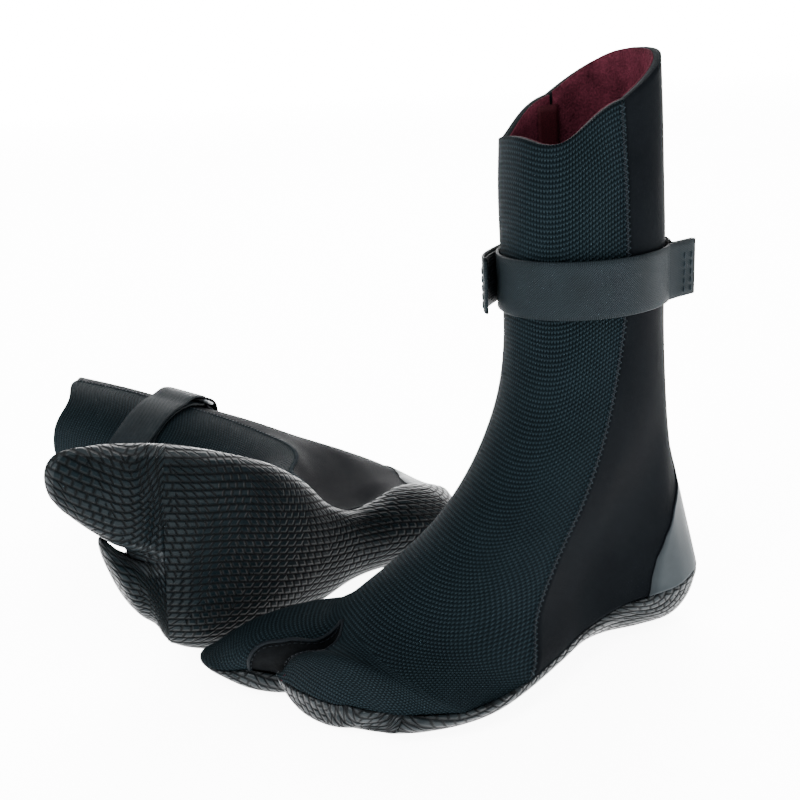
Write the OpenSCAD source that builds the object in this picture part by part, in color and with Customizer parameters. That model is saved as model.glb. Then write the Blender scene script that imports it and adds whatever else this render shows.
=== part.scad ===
// A pair of split-toe neoprene surf boots. The left one stands on its sole and the right
// one lies on its outer side behind it, with the sole turned to the front.
// Boot frame: X runs from the heel to the toes, Y to the outer side of the foot, Z up.
// Pair frame: X to the right, Y to the back, Z up, origin under the middle of the pair.

/* [Boot] */
// Length of the boot, heel to big toe
boot_length = 288; // [250:1:310]
// Thickness of the neoprene panels
neoprene_t = 3.6; // [2:0.1:5]
// Thickness of the plush lining
lining_t = 1; // [0.6:0.1:1.5]
// Thickness of the rubber outsole
sole_t = 3.5; // [2.5:0.1:4.5]
// How far the outsole's edge stands out from the upper
rand_proud = 1.2; // [0.4:0.1:2]
// Thickness of the rubber heel patch
patch_t = 1; // [0.5:0.1:1.5]

/* [Seams] */
// Width of the stitched line over a seam
seam_w = 3.2; // [2:0.2:5]
// Width of the tape inside a seam
tape_w = 12; // [8:1:16]

/* [Strap] */
// Height of the middle of the strap above the sole
strap_z = 212; // [190:1:240]
// Width of the strap
strap_w = 29; // [20:1:34]
// Thickness of the webbing
strap_t = 1.6; // [1:0.1:2]
// Diameter of the ring's wire
ring_wire = 2.2; // [1.6:0.1:2.4]
// Distance between the ring's two upright bars
ring_reach = 9; // [8:0.5:12]

/* [Pose of the pair] */
// Turn of the standing boot's toes towards the front
left_yaw = 21; // [0:1:45]
// Turn of the lying boot's toes towards the front
right_yaw = 33; // [10:1:50]
// Rise of the lying boot's toes
right_rise = 13; // [0:1:20]
// Lean of the lying boot's sole
right_lean = 2; // [-8:1:8]
// Bend of the lying boot's ankle
right_flex = 30; // [0:1:35]

/* [Hidden] */
LEFT_AT = [210.6, -57.7, 0.9];
RIGHT_AT = [93.6, 8.3, 21.6];
size_k = boot_length / 288;

// Guide points of the upper, on a boot of 288 mm: middle of the instep, outer seam and
// inner seam, from the cuff down to the root of the toe slot. Below row 8 the last two
// run along the edge of the sole.
INSTEP = size_k * [
    [[114, 2, 289], [72, 36, 300], [76, -32, 300]],
    [[116, 2, 250], [70, 37, 256], [74, -34, 256]],
    [[117, 2, 212], [70, 38, 216], [73, -34, 216]],
    [[117, 1, 176], [74, 38, 180], [75, -35, 180]],
    [[123, 1, 146], [83, 39, 140], [82, -35, 140]],
    [[138, 1, 115], [96, 40, 106], [94, -35, 106]],
    [[160, 2, 90], [114, 41, 74], [110, -34, 74]],
    [[184, 3, 74], [127, 43, 46], [124, -34, 46]],
    [[206, 3, 62], [137, 52, 16], [132, -36, 16]],
    [[219, 3, 50], [178, 59, 14], [170, -54, 15]]];
// Guide points of the back of the shaft, at rows 0 to 8.
BACK = size_k * [[40, 2, 321], [37, 2, 272], [33, 2, 228], [30, 0, 184], [26, 0, 140],
    [21, 0, 104], [14, 0, 76], [8, 0, 52], [4, 0, 35]];
// Edge of the sole around the heel, from the outer seam to the inner seam.
HEEL_EDGE = size_k * [[137, 52, 16], [112, 40, 18], [90, 29, 21], [62, 23, 25], [32, 24, 28],
    [20, 22, 31], [9, 15, 34], [4, 0, 35], [9, -15, 34], [20, -22, 31], [32, -25, 29],
    [62, -27, 22], [86, -19, 19], [110, -19, 17], [132, -36, 16]];
// Toe boxes: outer foot, crown and inner foot, from the slot's root to the tip.
SMALL_TOES = size_k * [[[203, 50, 15], [228, 22, 42], [230, 0, 14]],
    [[216, 40, 15], [240, 12, 36], [243, -6, 15]],
    [[230, 27, 16], [246, 8, 17], [253, -14, 18]]];
BIG_TOE = size_k * [[[206, -62, 15], [234, -26, 42], [236, -8, 14]],
    [[240, -66, 15], [262, -38, 34], [257, -22, 15]],
    [[272, -64, 15], [286, -48, 15], [266, -30, 15]]];
// Outsole: underside, outer edge and inner edge, from the back of the heel to the slot.
SOLE = size_k * [
    [[4, 0, 35], [20, 22, 31], [20, -22, 31]],
    [[10, 0, 14], [34, 24, 28], [36, -26, 28]],
    [[22, 0, 2], [48, 24, 26], [50, -28, 25]],
    [[44, 0, 0], [62, 23, 25], [64, -27, 22]],
    [[68, 0, 2], [77, 25, 22], [82, -20, 19]],
    [[90, 3, 5], [94, 31, 20], [100, -16, 18]],
    [[112, 5, 4], [112, 40, 18], [118, -23, 17]],
    [[138, 4, 1], [137, 52, 16], [134, -37, 16]],
    [[160, 2, 0], [158, 58, 14], [156, -49, 15]],
    [[182, 0, 0], [178, 59, 14], [178, -56, 15]],
    [[204, -1, 0], [196, 54, 15], [204, -62, 15]],
    [[222, -2, 2], [206, 48, 15], [222, -65, 15]]];
// Sole under the toe boxes: outer foot, underside and inner foot.
SOLE_SMALL = size_k * [[[216, 40, 15], [230, 18, 0], [236, -1, 12]],
    [[224, 33, 15], [241, 12, 2], [246, -8, 14]],
    [[230, 27, 16], [246, 8, 16], [253, -14, 18]]];
SOLE_BIG = size_k * [[[240, -66, 15], [244, -34, 1], [244, -13, 12]],
    [[258, -66, 15], [266, -40, 3], [257, -22, 14]],
    [[272, -64, 15], [286, -48, 14], [266, -30, 15]]];
// Half angle of the heel patch around the back, at rows 4.7 to 8 of the upper.
PATCH_EDGE = [[4.7, 6], [5.2, 10], [5.6, 17], [6, 29], [6.5, 38], [7, 42], [7.5, 44], [8, 45]];
ROWS = len(INSTEP) - 1;
HEEL_ROW = len(BACK) - 1;
TOE_ROWS = len(BIG_TOE);
SOLE_ROWS = len(SOLE) - 1;
ROUND = 2;
TOE_ROUND = 2.2;
SEAM_AT = 88.8;
SLOT_RUN = 0.6;
SLOT_WALL = 55;
SLOT_TIP = [1.5, 1.3];
SOLE_FLAT = -0.9;
CUFF_DIP = 10;
CROWN_DIP = 0.45;
CUFF_SQUARE = 0.5;
LINING_GAP = 0.6;
LINING_END = 0.35;
HEEL_BLEND = 3.5;
GAP = 0.2;
ANKLE = size_k * [75, 0, 85];
ANKLE_LOW = 40 * size_k;
ANKLE_SPAN = 90 * size_k;

// Loop of the strap around the shaft, seen from above.
STRAP_C = size_k * [74, 2];
STRAP_R = size_k * [44.3, 38];
FOLD_R = 2;
BAR_OFF = strap_t + FOLD_R;
RING_T = -107;
RING_SPAN = 57.3 * ring_reach / (STRAP_R.x + BAR_OFF);
ANCHOR_T = 150;
TAIL_END_T = -4;
TAIL_LIFT = 7;
FIN = size_k * [[21, 21.5], [27, 22.9]];
FIN_TURN = size_k * [33.8, 22.2];
FIN_R = 2.2 * size_k;
HOOK_T = [-34, -9];
thread_r = 0.4;
stitch = 3;
stitch_gap = 1.4;
tack_t = 1.5;
$fn = 32;

PARTS = ["outsole", "footbed", "front_panel", "rear_panel", "toe_gusset", "front_lining",
    "rear_lining", "heel_patch", "lateral_seam", "medial_seam", "slot_seam",
    "lateral_seam_tape", "medial_seam_tape", "strap_band", "strap_anchor", "strap_tail",
    "strap_hook_patch", "strap_ring", "strap_stitching", "tail_stitching", "strap_tack"];

// Curves and surfaces ---------------------------------------------------------------------

function smooth(t) = let(s = min(1, max(0, t))) s * s * (3 - 2 * s);
function unit(v) = norm(v) > 0 ? v / norm(v) : v;
function steps(a, b, n) = [for (i = [0 : n]) a + (b - a) * i / n];
// Point at u on the smooth curve through the rows of a table
function on(table, u) = let(n = len(table) - 1, i = min(floor(max(u, 0)), n - 1), t = u - i,
    p1 = table[i], p2 = table[i + 1],
    p0 = i > 0 ? table[i - 1] : 2 * p1 - p2, p3 = i + 2 <= n ? table[i + 2] : 2 * p2 - p1)
    0.5 * (2 * p1 + (p2 - p0) * t + (2 * p0 - 5 * p1 + 4 * p2 - p3) * t * t
    + (3 * p1 - p0 - 3 * p2 + p3) * t * t * t);
// Arch from a over the crown c to b, as the angle goes from -90 to 90
function arch(a, c, b, power, angle) = let(m = (a + b) / 2, e = angle < 0 ? a : b)
    m + (c - m) * pow(abs(cos(angle)), 2 / power) + (e - m) * pow(abs(sin(angle)), 2 / power);
// Ankle bend, from none below the ankle to the whole angle above it
function bend(p, flex) = let(a = flex * smooth((p.z - ANKLE_LOW) / ANKLE_SPAN), d = p - ANKLE)
    ANKLE + [d.x * cos(a) + d.z * sin(a), d.y, d.z * cos(a) - d.x * sin(a)];

// The top of the shaft is squarer, and its front edge dips on both sides of the middle
function top_power(u) = ROUND + CUFF_SQUARE * (1 - smooth(u / 2.5));
front_at = function(u, angle) let(g = on(INSTEP, u))
    arch(g[1], g[0], g[2], top_power(u), angle)
    - [0, 0, CUFF_DIP * (1 - smooth(u)) * (pow(sin(2 * angle), 2)
        + (abs(angle) < 45 ? CROWN_DIP * pow(cos(2 * angle), 2) : 0))];
rear_at = function(u, angle) let(g = on(INSTEP, u), last = INSTEP[HEEL_ROW],
    plain = arch(g[1], on(BACK, u), g[2], top_power(u), angle),
    plain_last = arch(last[1], BACK[HEEL_ROW], last[2], ROUND, angle),
    edge = on(HEEL_EDGE, (angle / 180 + 0.5) * (len(HEEL_EDGE) - 1)))
    plain + smooth((u - HEEL_BLEND) / (HEEL_ROW - HEEL_BLEND)) * (edge - plain_last);
// A toe box grows out of one half of the row at the slot's root. Side is 1 for the small
// toes and -1 for the big toe, and the angle goes from the outer foot to the slot.
function box_at(root, rows, side, power, u, angle) = let(
    whole = arch(root[1], root[0], root[2], power, side * (angle - 90) / 2),
    crown = arch(root[1], root[0], root[2], power, -45 * side),
    foot = side > 0 ? root[1] : root[2],
    g = on(concat([[foot, crown, root[0]]], rows), u))
    arch(g[0], g[1], g[2], TOE_ROUND, angle) + (1 - smooth(u / SLOT_RUN))
    * (whole - arch(foot, crown, root[0], TOE_ROUND, angle));
small_toes_at = function(u, angle) box_at(INSTEP[ROWS], SMALL_TOES, 1, ROUND, u, angle);
big_toe_at = function(u, angle) box_at(INSTEP[ROWS], BIG_TOE, -1, ROUND, u, angle);
function sole_power(v) = ROUND + smooth((v - 4) / 5);
sole_at = function(v, angle) let(g = on(SOLE, v)) arch(g[1], g[0], g[2], sole_power(v), angle);
sole_small_at = function(u, angle)
    box_at(SOLE[SOLE_ROWS], SOLE_SMALL, 1, sole_power(SOLE_ROWS), u, angle);
sole_big_at = function(u, angle)
    box_at(SOLE[SOLE_ROWS], SOLE_BIG, -1, sole_power(SOLE_ROWS), u, angle);
// Where the knit ends and the smooth wall of the toe slot begins
function slot_edge(u) = 90 - SLOT_WALL * smooth(u / SLOT_RUN)
    * (1 - smooth((u - SLOT_TIP[0]) / SLOT_TIP[1]));

// Solids ----------------------------------------------------------------------------------

function grid(at, us, angles) = [for (u = us) [for (a = angles) at(u, a)]];
// Point of a grid, moved by depth against its normal. Out is 1 or -1, the normals' side.
function sunk(g, i, j, depth, out) = let(n = len(g) - 1, m = len(g[0]) - 1,
    du = g[min(i + 1, n)][j] - g[max(i - 1, 0)][j],
    dv = g[i][min(j + 1, m)] - g[i][max(j - 1, 0)])
    g[i][j] - out * depth * unit(cross(du, dv));
function over_floor(p) = [p.x, p.y, max(p.z, SOLE_FLAT)];
function depth_at(depth, i, j) = is_list(depth) ? depth[i][j] : depth;
function quad(a, b, c, d) = [[a, b, c], [a, c, d]];
function flip(faces, yes) = yes ? [for (f = faces) [f[0], f[2], f[1]]] : faces;

// Shell between two depths under a grid; a depth is a number or one number a point
module shell(g, depth_a, depth_b, out, flex) {
    n = len(g);
    m = len(g[0]);
    k = n * m;
    points = [for (depth = [depth_a, depth_b]) for (i = [0 : n - 1]) for (j = [0 : m - 1])
        bend(over_floor(sunk(g, i, j, depth_at(depth, i, j), out)), flex)];
    skins = [for (i = [0 : n - 2]) for (j = [0 : m - 2]) let(a = i * m + j, b = a + m)
        each concat(quad(a, a + 1, b + 1, b), quad(k + a, k + b, k + b + 1, k + a + 1))];
    sides = [for (i = [0 : n - 2]) let(a = i * m, b = a + m, c = a + m - 1, d = c + m)
        each concat(quad(a, b, k + b, k + a), quad(c, k + c, k + d, d))];
    ends = [for (j = [0 : m - 2]) let(a = j, b = (n - 1) * m + j)
        each concat(quad(a, k + a, k + a + 1, a + 1), quad(b, b + 1, k + b + 1, k + b))];
    polyhedron(points, flip(concat(skins, sides, ends), out < 0), convexity = 8);
}

// Flat strip along a line on a surface, between two heights over it
module strip(at, us, angles, width, low, high, out, flex) {
    points = [for (i = [0 : len(us) - 1]) let(u = us[i], a = angles[i], p = at(u, a),
        du = unit(at(u + 0.02, a) - at(u - 0.02, a)),
        n = out * unit(cross(du, at(u, a + 1) - p)), across = unit(cross(n, du)) * width / 2)
        each [for (q = [p + across + n * high, p - across + n * high,
            p - across + n * low, p + across + n * low]) bend(q, flex)]];
    last = len(points) - 4;
    walls = [for (i = [0 : len(us) - 2]) for (j = [0 : 3])
        let(a = 4 * i + j, b = 4 * i + (j + 1) % 4) each quad(a, a + 4, b + 4, b)];
    caps = concat(quad(0, 1, 2, 3), quad(last, last + 3, last + 2, last + 1));
    polyhedron(points, concat(walls, caps), convexity = 8);
}

// One solid from overlapping shells
module welded() {
    resize([0, 0, 0]) union() children();
}

// Boot parts ------------------------------------------------------------------------------

// Inner face of the rubber: a thin rim outside the upper, then the full sole
function sole_inner(us, angles, heel) = [for (u = us) [for (a = angles)
    let(rim = min(smooth((78 - abs(a)) / 12), heel ? smooth((u - 0.6) / 1.2) : 1))
    rim * (sole_t - rand_proud) - (1 - rim) * GAP]];
module sole_shell(at, us, angles, out, heel, flex) {
    shell(grid(at, us, angles), -rand_proud, sole_inner(us, angles, heel), out, flex);
}
// Closes the slot's root between the two toe boxes
function web(small, big) = [for (u = steps(0, 1, 6)) [for (s = steps(-0.05, 1.05, 3))
    small(u, 90) + s * (big(u, 90) - small(u, 90))]];
module outsole(flex) {
    color("#30373b") welded() {
        sole_shell(sole_at, steps(0, SOLE_ROWS, 22), steps(-90, 90, 18), 1, true, flex);
        sole_shell(sole_small_at, steps(0, TOE_ROWS, 6), steps(-90, 90, 9), 1, false, flex);
        sole_shell(sole_big_at, steps(0, TOE_ROWS, 6), steps(-90, 90, 9), -1, false, flex);
        shell(web(sole_small_at, sole_big_at), -rand_proud / 2, sole_t / 2, 1, flex);
    }
}
module footbed(flex) {
    top = sole_t - rand_proud + LINING_GAP;
    color("#6a2233") shell(grid(sole_at, steps(1.8, SOLE_ROWS - 0.5, 14), steps(-58, 58, 10)),
        top, top + lining_t, 1, flex);
}
// Upper of the front with its two toe boxes, down to an edge angle at each u of the boxes
module front_shell(rows, half, depth_a, depth_b, foot, edge, flex, tip = TOE_ROWS) {
    welded() {
        shell(grid(front_at, steps(0, ROWS, rows), steps(-foot, foot, 2 * half)),
            depth_a, depth_b, -1, flex);
        for (box = [[small_toes_at, -1], [big_toe_at, 1]])
            shell([for (u = steps(0, tip, 6)) [for (s = steps(0, 1, half))
                box[0](u, s * (edge(u) + foot) - foot)]], depth_a, depth_b, box[1], flex);
    }
}
module front_panel(flex) {
    color("#1c242c") front_shell(16, 8, 0, neoprene_t, SEAM_AT, function(u) slot_edge(u), flex);
}
module front_lining(flex) {
    top = neoprene_t + LINING_GAP;
    color("#5a1526") front_shell(16, 8, top, top + lining_t, 84, function(u) 84, flex, TOE_ROWS - LINING_END);
}
module rear_panel(flex) {
    color("#17191b") shell(grid(rear_at, steps(0, HEEL_ROW, 15), steps(-SEAM_AT, SEAM_AT, 16)),
        0, neoprene_t, 1, flex);
}
module rear_lining(flex) {
    top = neoprene_t + LINING_GAP;
    color("#5a1526") shell(grid(rear_at, steps(0, HEEL_ROW - 0.35, 15), steps(-83, 83, 16)),
        top, top + lining_t, 1, flex);
}
module toe_gusset(flex) {
    color("#0e1114") welded() {
        for (box = [[small_toes_at, -1], [big_toe_at, 1]])
            shell([for (u = steps(0.2, SLOT_TIP[0] + SLOT_TIP[1] - 0.3, 9)) [for (s = steps(0, 1, 4))
                box[0](u, slot_edge(u) + 5 + s * (82 - slot_edge(u)))]], 0.1, neoprene_t / 2,
                box[1], flex);
        shell(web(small_toes_at, big_toe_at), -0.3, neoprene_t / 2, -1, flex);
    }
}
module heel_patch(flex) {
    us = steps(PATCH_EDGE[0][0], HEEL_ROW, 12);
    color("#4a5053") shell([for (u = us) [for (s = steps(-1, 1, 8))
        rear_at(u, s * lookup(u, PATCH_EDGE))]], -patch_t - 0.3, -0.3, 1, flex);
}
module shaft_seam(side, flex) {
    us = steps(0.02, HEEL_ROW - 0.1, 24);
    color("#aab0b4") strip(front_at, us, [for (u = us) -89 * side], seam_w, 0.35, 0.8, -1, flex);
}
module shaft_tape(side, flex) {
    us = steps(0.1, HEEL_ROW - 0.5, 20);
    depth = neoprene_t + lining_t + 2.2;
    color("#3a0d18") strip(front_at, us, [for (u = us) -89 * side], tape_w, -depth - 0.3,
        -depth, -1, flex);
}
module slot_seam(flex) {
    us = steps(0.15, SLOT_TIP[0] + SLOT_TIP[1], 10);
    angles = [for (u = us) slot_edge(u) - 3];
    color("#262d33") for (box = [[small_toes_at, -1], [big_toe_at, 1]])
        strip(box[0], us, angles, 2, 0.35, 0.9, box[1], flex);
}

// Strap parts, around the middle of the strap's height -------------------------------------

function loop_at(t, off) = STRAP_C + [(STRAP_R.x + off) * cos(t), (STRAP_R.y + off) * sin(t)];
function left_of(d) = [-d.y, d.x];
function turn(centre, r, a, b) = [for (t = steps(a, b, 8)) centre + r * [cos(t), sin(t)]];
function side_of(path, off) = let(n = len(path) - 1) [for (i = [0 : n])
    path[i] + off * left_of(unit(path[min(i + 1, n)] - path[max(i - 1, 0)]))];
// Band on edge between two distances to the left of a path, seen from above
module ribbon(path, near, far, height = strap_w) {
    edge = side_of(path, near);
    translate([0, 0, -height / 2]) linear_extrude(height) polygon(concat(side_of(path, far),
        [for (i = [len(edge) - 1 : -1 : 0]) edge[i]]));
}
// Vertical row of stitches just off a band at a point, on the side that n points to
module stitches(p, n, height = strap_w - 4) {
    for (z = [-height / 2 : stitch + stitch_gap : height / 2 - stitch])
        translate([p.x + n.x * (thread_r + 0.05), p.y + n.y * (thread_r + 0.05), z])
            cylinder(h = stitch, r = thread_r, $fn = 12);
}

outer_bar = loop_at(RING_T, BAR_OFF);
inner_bar = loop_at(RING_T - RING_SPAN, BAR_OFF);
// Directions from the bars to the outside of the strap
outer_turn = atan2(STRAP_R.x * sin(RING_T), STRAP_R.y * cos(RING_T));
inner_turn = atan2(STRAP_R.x * sin(RING_T - RING_SPAN), STRAP_R.y * cos(RING_T - RING_SPAN));
fold_r = FOLD_R + strap_t;
fin_turn = turn(FIN_TURN, FIN_R, 103, -34);
function tail_off(t) = strap_t + 0.6 + (2 * FOLD_R - 0.6) * smooth((-78 - t) / 18)
    + TAIL_LIFT * pow(smooth((t + 56) / 52), 2);
// Point and outward normal on the tail's outer face
function tail_face(t) = loop_at(t, tail_off(t) + strap_t);
function out_of(t) = unit([STRAP_R.y * cos(t), STRAP_R.x * sin(t)]);

band_path = concat(FIN, [fin_turn[0]], [for (t = [140 : -6 : RING_T + 5]) loop_at(t, 0)],
    turn(outer_bar, fold_r, outer_turn - 180, outer_turn));
anchor_path = concat(FIN, fin_turn,
    [for (t = [ANCHOR_T + 6 : 6 : 360 + RING_T - RING_SPAN - 4]) loop_at(t, 0)],
    turn(inner_bar, fold_r, inner_turn + 180, inner_turn),
    [for (t = [360 + RING_T - RING_SPAN - 6 : -5 : 200])
        loop_at(t, 2 * strap_t + 0.2 + (2 * FOLD_R - 0.2) * smooth((t - 220) / 16))]);
tail_path = [for (t = concat([RING_T + 0.6], [for (t = [-102 : 4 : TAIL_END_T]) t]))
    loop_at(t, tail_off(t))];

module strap_band() {
    color("#252c37") ribbon(band_path, 0.05, strap_t);
}
module strap_anchor() {
    color("#2c3038") ribbon(anchor_path, -strap_t, -0.05);
}
module strap_tail() {
    color("#252c37") ribbon(tail_path, -strap_t, 0);
}
module strap_hook_patch() {
    path = [for (t = steps(HOOK_T[0], HOOK_T[1], 8)) loop_at(t, tail_off(t))];
    color("#1f242c") ribbon(path, 0.1, 1, strap_w - 3);
}
module strap_ring() {
    half = strap_w / 2 + 1 + ring_wire / 2;
    reach = inner_bar - outer_bar;
    color("#5d6468") welded() {
        for (end = [-half, half]) {
            translate([outer_bar.x, outer_bar.y, end]) rotate([0, 90, atan2(reach.y, reach.x)])
                cylinder(h = norm(reach), d = ring_wire, $fn = 10);
            for (bar = [outer_bar, inner_bar]) translate([bar.x, bar.y, end])
                sphere(d = ring_wire, $fn = 10);
        }
        for (bar = [outer_bar, inner_bar]) translate([bar.x, bar.y, -half])
            cylinder(h = 2 * half, d = ring_wire, $fn = 10);
    }
}
module strap_stitching() {
    d = unit(FIN[1] - FIN[0]);
    color("#7d858c") {
        for (along = [3, 8]) stitches(FIN[0] + d * along + left_of(d) * strap_t, left_of(d));
        for (t = [206, 216]) stitches(loop_at(t, 2 * strap_t + 0.2), out_of(t));
    }
}
module tail_stitching() {
    color("#7d858c") for (t = [-14, -9]) stitches(tail_face(t), out_of(t));
}
module strap_tack() {
    color("#252c37") translate([loop_at(180, 0).x + 0.35, STRAP_C.y - 4, -strap_w / 3])
        cube([tack_t, 8, strap_w / 1.5]);
}

// Both boots ------------------------------------------------------------------------------

module left_place() {
    translate(LEFT_AT) rotate([0, 0, 180 + left_yaw]) children();
}
module right_place() {
    translate(RIGHT_AT) rotate([right_lean, right_rise, right_yaw]) rotate([90, 0, 180])
        mirror([0, 1, 0]) children();
}
module strap_place(flex) {
    translate(ANKLE) rotate([0, flex, 0]) translate([0, 0, strap_z * size_k] - ANKLE)
        children();
}
// Sub-part of a boot by its name
module boot_part(part, flex) {
    if (part == "outsole") outsole(flex);
    if (part == "footbed") footbed(flex);
    if (part == "front_panel") front_panel(flex);
    if (part == "rear_panel") rear_panel(flex);
    if (part == "toe_gusset") toe_gusset(flex);
    if (part == "front_lining") front_lining(flex);
    if (part == "rear_lining") rear_lining(flex);
    if (part == "heel_patch") heel_patch(flex);
    if (part == "lateral_seam") shaft_seam(1, flex);
    if (part == "medial_seam") shaft_seam(-1, flex);
    if (part == "slot_seam") slot_seam(flex);
    if (part == "lateral_seam_tape") shaft_tape(1, flex);
    if (part == "medial_seam_tape") shaft_tape(-1, flex);
    if (part == "strap_band") strap_place(flex) strap_band();
    if (part == "strap_anchor") strap_place(flex) strap_anchor();
    if (part == "strap_tail") strap_place(flex) strap_tail();
    if (part == "strap_hook_patch") strap_place(flex) strap_hook_patch();
    if (part == "strap_ring") strap_place(flex) strap_ring();
    if (part == "strap_stitching") strap_place(flex) strap_stitching();
    if (part == "tail_stitching") strap_place(flex) tail_stitching();
    if (part == "strap_tack") strap_place(flex) strap_tack();
}

for (part = PARTS) {
    left_place() boot_part(part, 0);
    right_place() boot_part(part, right_flex);
}
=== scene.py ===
import math

import bmesh
import bpy
import numpy as np
from mathutils import Euler, Matrix, Vector


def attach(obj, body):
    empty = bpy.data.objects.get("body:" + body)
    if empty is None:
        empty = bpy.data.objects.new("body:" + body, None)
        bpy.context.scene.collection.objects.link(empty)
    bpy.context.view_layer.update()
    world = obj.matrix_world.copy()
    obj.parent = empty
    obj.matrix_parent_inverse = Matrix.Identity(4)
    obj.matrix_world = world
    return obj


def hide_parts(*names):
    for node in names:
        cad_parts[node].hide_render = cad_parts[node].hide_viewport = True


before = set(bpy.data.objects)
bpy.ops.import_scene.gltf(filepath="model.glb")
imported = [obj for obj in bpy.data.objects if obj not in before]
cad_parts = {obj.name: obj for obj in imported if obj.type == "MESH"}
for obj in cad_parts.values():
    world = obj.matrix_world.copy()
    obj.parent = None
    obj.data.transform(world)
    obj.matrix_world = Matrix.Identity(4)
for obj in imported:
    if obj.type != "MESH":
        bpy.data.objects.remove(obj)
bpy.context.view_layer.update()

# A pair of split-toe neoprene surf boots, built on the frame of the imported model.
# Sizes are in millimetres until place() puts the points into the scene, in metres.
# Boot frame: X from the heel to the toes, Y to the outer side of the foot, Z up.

MM = 0.001
WELD = 0.08                                     # points closer than this are joined
UV_UNIT = 100                                   # millimetres in one unit of the UV maps

# Places of the boots, as in the CAD source ---------------------------------------------------
LEFT_AT, LEFT_YAW = (210.6, -57.7, 0.9), 21
RIGHT_AT, RIGHT_TURN, RIGHT_FLEX = (93.6, 8.3, 21.6), (2, 13, 33), 30
ANKLE, ANKLE_LOW, ANKLE_SPAN = np.array([75.0, 0, 85]), 40, 90

# Camera, in the pair's frame
CAMERA_AT = (43.6, -641.2, 342.3)
CAMERA_RIGHT = (0.99792, -0.02112, -0.06098)
CAMERA_UP = (0.06453, 0.32654, 0.94298)
CAMERA_LENS = 49.5

# The stage glows white, and the light from all round is softer than that
STAGE_GLOW, SOFT_LIGHT = 9.0, 1.5
STAGE_SIZE, WALL_AT, LOOK_AT = 12, 6, (0, 0, 0.1)   # metres

# Guide points of the upper: middle of the instep, outer seam and inner seam, cuff to toe slot
INSTEP = np.array([
    [[114, 2, 289], [72, 36, 300], [76, -32, 300]],
    [[116, 2, 250], [70, 37, 256], [74, -34, 256]],
    [[117, 2, 212], [70, 38, 216], [73, -34, 216]],
    [[117, 1, 176], [74, 38, 180], [75, -35, 180]],
    [[123, 1, 146], [83, 39, 140], [82, -35, 140]],
    [[138, 1, 115], [96, 40, 106], [94, -35, 106]],
    [[160, 2, 90], [114, 41, 74], [110, -34, 74]],
    [[184, 3, 74], [127, 43, 46], [124, -34, 46]],
    [[206, 3, 62], [137, 52, 16], [132, -36, 16]],
    [[219, 3, 50], [178, 59, 14], [170, -54, 15]]], float)
# Back of the shaft down to the heel, and the heel's lower edge from the outer to the inner seam
BACK = np.array([[40, 2, 321], [37, 2, 272], [33, 2, 228], [30, 0, 184], [26, 0, 140],
                 [21, 0, 104], [14, 0, 76], [8, 0, 52], [4, 0, 35]], float)
HEEL_EDGE = np.array([
    [137, 52, 16], [112, 40, 18], [90, 29, 21], [62, 23, 25], [32, 24, 28], [20, 22, 31],
    [9, 15, 34], [4, 0, 35], [9, -15, 34], [20, -22, 31], [32, -25, 29], [62, -27, 22],
    [86, -19, 19], [110, -19, 17], [132, -36, 16]], float)
# Toe boxes: outer foot, crown and inner foot, from behind the slot's root to the tip
SMALL_TOES = np.array([[[203, 50, 15], [228, 22, 42], [230, 0, 14]],
                       [[216, 40, 15], [240, 12, 36], [243, -6, 15]],
                       [[230, 27, 16], [246, 8, 17], [253, -14, 18]]], float)
BIG_TOE = np.array([[[206, -62, 15], [234, -26, 42], [236, -8, 14]],
                    [[240, -66, 15], [262, -38, 34], [257, -22, 15]],
                    [[272, -64, 15], [286, -48, 15], [266, -30, 15]]], float)
# Sole: underside, outer edge and inner edge, from the back of the heel to the slot
SOLE = np.array([
    [[4, 0, 35], [20, 22, 31], [20, -22, 31]],
    [[10, 0, 14], [34, 24, 28], [36, -26, 28]],
    [[22, 0, 2], [48, 24, 26], [50, -28, 25]],
    [[44, 0, 0], [62, 23, 25], [64, -27, 22]],
    [[68, 0, 2], [77, 25, 22], [82, -20, 19]],
    [[90, 3, 5], [94, 31, 20], [100, -16, 18]],
    [[112, 5, 4], [112, 40, 18], [118, -23, 17]],
    [[138, 4, 1], [137, 52, 16], [134, -37, 16]],
    [[160, 2, 0], [158, 58, 14], [156, -49, 15]],
    [[182, 0, 0], [178, 59, 14], [178, -56, 15]],
    [[204, -1, 0], [196, 54, 15], [204, -62, 15]],
    [[222, -2, 2], [206, 48, 15], [222, -65, 15]]], float)
# Toes of the sole: outer edge, underside and inner edge
SOLE_SMALL = np.array([[[216, 40, 15], [230, 18, 0], [236, -1, 12]],
                       [[224, 33, 15], [241, 12, 2], [246, -8, 14]],
                       [[230, 27, 16], [246, 8, 16], [253, -14, 18]]], float)
SOLE_BIG = np.array([[[240, -66, 15], [244, -34, 1], [244, -13, 12]],
                     [[258, -66, 15], [266, -40, 3], [257, -22, 14]],
                     [[272, -64, 15], [286, -48, 14], [266, -30, 15]]], float)
# Half angle of the heel patch around the back, by row of the upper
PATCH_ROWS = [4.7, 5.2, 5.6, 6, 6.5, 7, 7.5, 8]
PATCH_HALF = [6, 10, 17, 29, 38, 42, 44, 45]
# Last rows of the tables, and how square the arches between their points are (2 is an ellipse)
ROWS, HEEL_ROW, SOLE_ROWS, TOE_ROWS = 9, 8, 11, 3
ROUND, TOE_ROUND, CUFF_SQUARE = 2, 2.2, 0.5
HEEL_BLEND = 3.5                                # row where the heel's edge begins to pull
# Toe slot: the rows in which the toe boxes grow apart and the mouth opens, the mouth's angle,
# and the row where it begins to close with the rows which that takes
SLOT_RUN, SLOT_OPEN, SLOT_WALL, SLOT_TIP = 0.6, 1.2, 55, (1.5, 1.3)
CUFF_DIP, CROWN_DIP = 10, 0.45                  # cuff's dip beside the crown, and share at it
# Thicknesses, and the gap between layers
NEOPRENE, LINING, SOLE_T, PATCH_T, TAPE_T, GAP = 3.6, 1.0, 3.5, 1.0, 0.3, 0.2
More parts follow.
